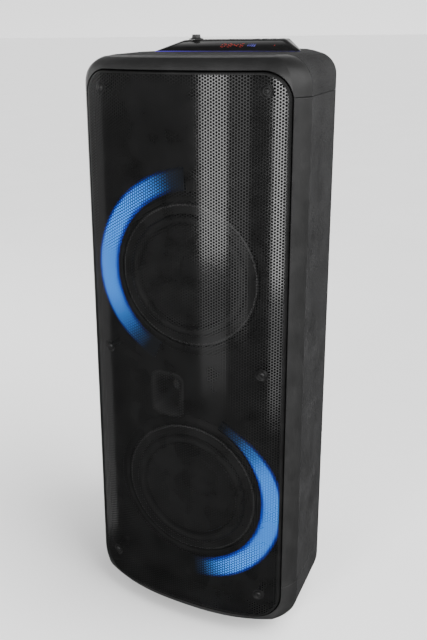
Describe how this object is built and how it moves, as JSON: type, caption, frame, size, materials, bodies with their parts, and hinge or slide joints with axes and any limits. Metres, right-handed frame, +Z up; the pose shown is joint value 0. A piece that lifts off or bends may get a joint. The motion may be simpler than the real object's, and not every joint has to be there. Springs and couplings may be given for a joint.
{
  "type": "party speaker",
  "caption": "Tall free-standing party speaker with a bowed steel grille, crescent light guides, two woofers, a horn tweeter and a raised control panel.",
  "frame": {"origin": "centre of the footprint, on the surface that the feet stand on", "axes": "+Z up, front and grille towards -Y, +X to the right of someone facing the grille"},
  "size_m": [0.355, 0.344, 0.9345],
  "materials": {
    "cabinet_vinyl": "satin, fine leather grain",
    "cap_plastic": "fine satin moulding",
    "baffle_plastic": "matte",
    "grille_steel": "semi-gloss black powder coat, perforated",
    "black_screw": "black oxide",
    "rubber_foot": "matte",
    "light_guide": "diffusing, lit blue",
    "circuit_board": "solder mask",
    "basket_steel": "black paint",
    "surround_rubber": "satin",
    "cone_paper": "pressed pulp",
    "voice_coil": "lacquered copper winding",
    "spider_cloth": "resin-set weave",
    "ferrite": "sintered",
    "bare_steel": "zinc plated",
    "black_plastic": "fine texture",
    "panel_plastic": "satin",
    "display_gloss": "smoked acrylic",
    "knob_plastic": "semi-gloss",
    "button_rubber": "matte silicone",
    "amplifier_plate": "textured black",
    "battery_wrap": "heat-shrink sleeve"
  },
  "bodies": {
    "cabinet": {"cabinet_shell": "cabinet_vinyl", "top_cap": "cap_plastic", "bottom_cap": "cap_plastic", "front_baffle": "baffle_plastic", "grille": "grille_steel", "grille_screw_1": "black_screw", "grille_screw_2": "black_screw", "grille_screw_3": "black_screw", "grille_screw_4": "black_screw", "grille_screw_5": "black_screw", "grille_screw_6": "black_screw", "foot_front_left": "rubber_foot", "foot_front_right": "rubber_foot", "foot_rear_left": "rubber_foot", "foot_rear_right": "rubber_foot", "upper_light_guide": "light_guide", "upper_led_board": "circuit_board", "upper_basket": "basket_steel", "upper_surround": "surround_rubber", "upper_spider": "spider_cloth", "upper_magnet": "ferrite", "upper_yoke": "bare_steel", "lower_light_guide": "light_guide", "lower_led_board": "circuit_board", "lower_basket": "basket_steel", "lower_surround": "surround_rubber", "lower_spider": "spider_cloth", "lower_magnet": "ferrite", "lower_yoke": "bare_steel", "tweeter_horn": "black_plastic", "tweeter_driver": "ferrite", "control_panel": "panel_plastic", "display_window": "display_gloss", "control_board": "circuit_board", "amplifier_plate": "amplifier_plate", "amplifier_screw_1": "bare_steel", "amplifier_screw_2": "bare_steel", "amplifier_screw_3": "bare_steel", "amplifier_screw_4": "bare_steel", "mains_inlet": "black_plastic", "power_switch_housing": "black_plastic", "mic_jack": "black_plastic", "guitar_jack": "black_plastic", "usb_port": "bare_steel", "amplifier_board": "circuit_board", "power_supply": "circuit_board", "battery_pack": "battery_wrap", "bass_port": "black_plastic"},
    "knob": {"volume_knob": "knob_plastic"},
    "rocker": {"power_rocker": "knob_plastic"},
    "light_key": {"light_button": "button_rubber"},
    "previous_key": {"previous_button": "button_rubber"},
    "play_key": {"play_button": "button_rubber"},
    "next_key": {"next_button": "button_rubber"},
    "upper_diaphragm": {"upper_cone": "cone_paper", "upper_dust_cap": "cone_paper", "upper_voice_coil": "voice_coil"},
    "lower_diaphragm": {"lower_cone": "cone_paper", "lower_dust_cap": "cone_paper", "lower_voice_coil": "voice_coil"}
  },
  "joints": [
    {"name": "volume_turn", "type": "hinge", "parent": "cabinet", "child": "knob", "pos_m": [-0.071, 0.0555, 0.93], "axis": [0, 0, 1], "range_deg": [-150, 150]},
    {"name": "light_press", "type": "slide", "parent": "cabinet", "child": "light_key", "axis": [0, 0, -1], "range_m": [0, 0.001], "stiffness_N_per_m": 1500, "springref_m": -0.0004},
    {"name": "previous_press", "type": "slide", "parent": "cabinet", "child": "previous_key", "axis": [0, 0, -1], "range_m": [0, 0.001], "stiffness_N_per_m": 1500, "springref_m": -0.0004},
    {"name": "play_press", "type": "slide", "parent": "cabinet", "child": "play_key", "axis": [0, 0, -1], "range_m": [0, 0.001], "stiffness_N_per_m": 1500, "springref_m": -0.0004},
    {"name": "next_press", "type": "slide", "parent": "cabinet", "child": "next_key", "axis": [0, 0, -1], "range_m": [0, 0.001], "stiffness_N_per_m": 1500, "springref_m": -0.0004},
    {"name": "power_rock", "type": "hinge", "parent": "cabinet", "child": "rocker", "pos_m": [0.042, 0.1665, 0.16], "axis": [-1, 0, 0], "range_deg": [0, 16]},
    {"name": "upper_cone_travel", "type": "slide", "parent": "cabinet", "child": "upper_diaphragm", "axis": [0, -1, 0], "range_m": [-0.006, 0.006], "stiffness_N_per_m": 3000},
    {"name": "lower_cone_travel", "type": "slide", "parent": "cabinet", "child": "lower_diaphragm", "axis": [0, -1, 0], "range_m": [-0.006, 0.006], "stiffness_N_per_m": 3000}
  ]
}
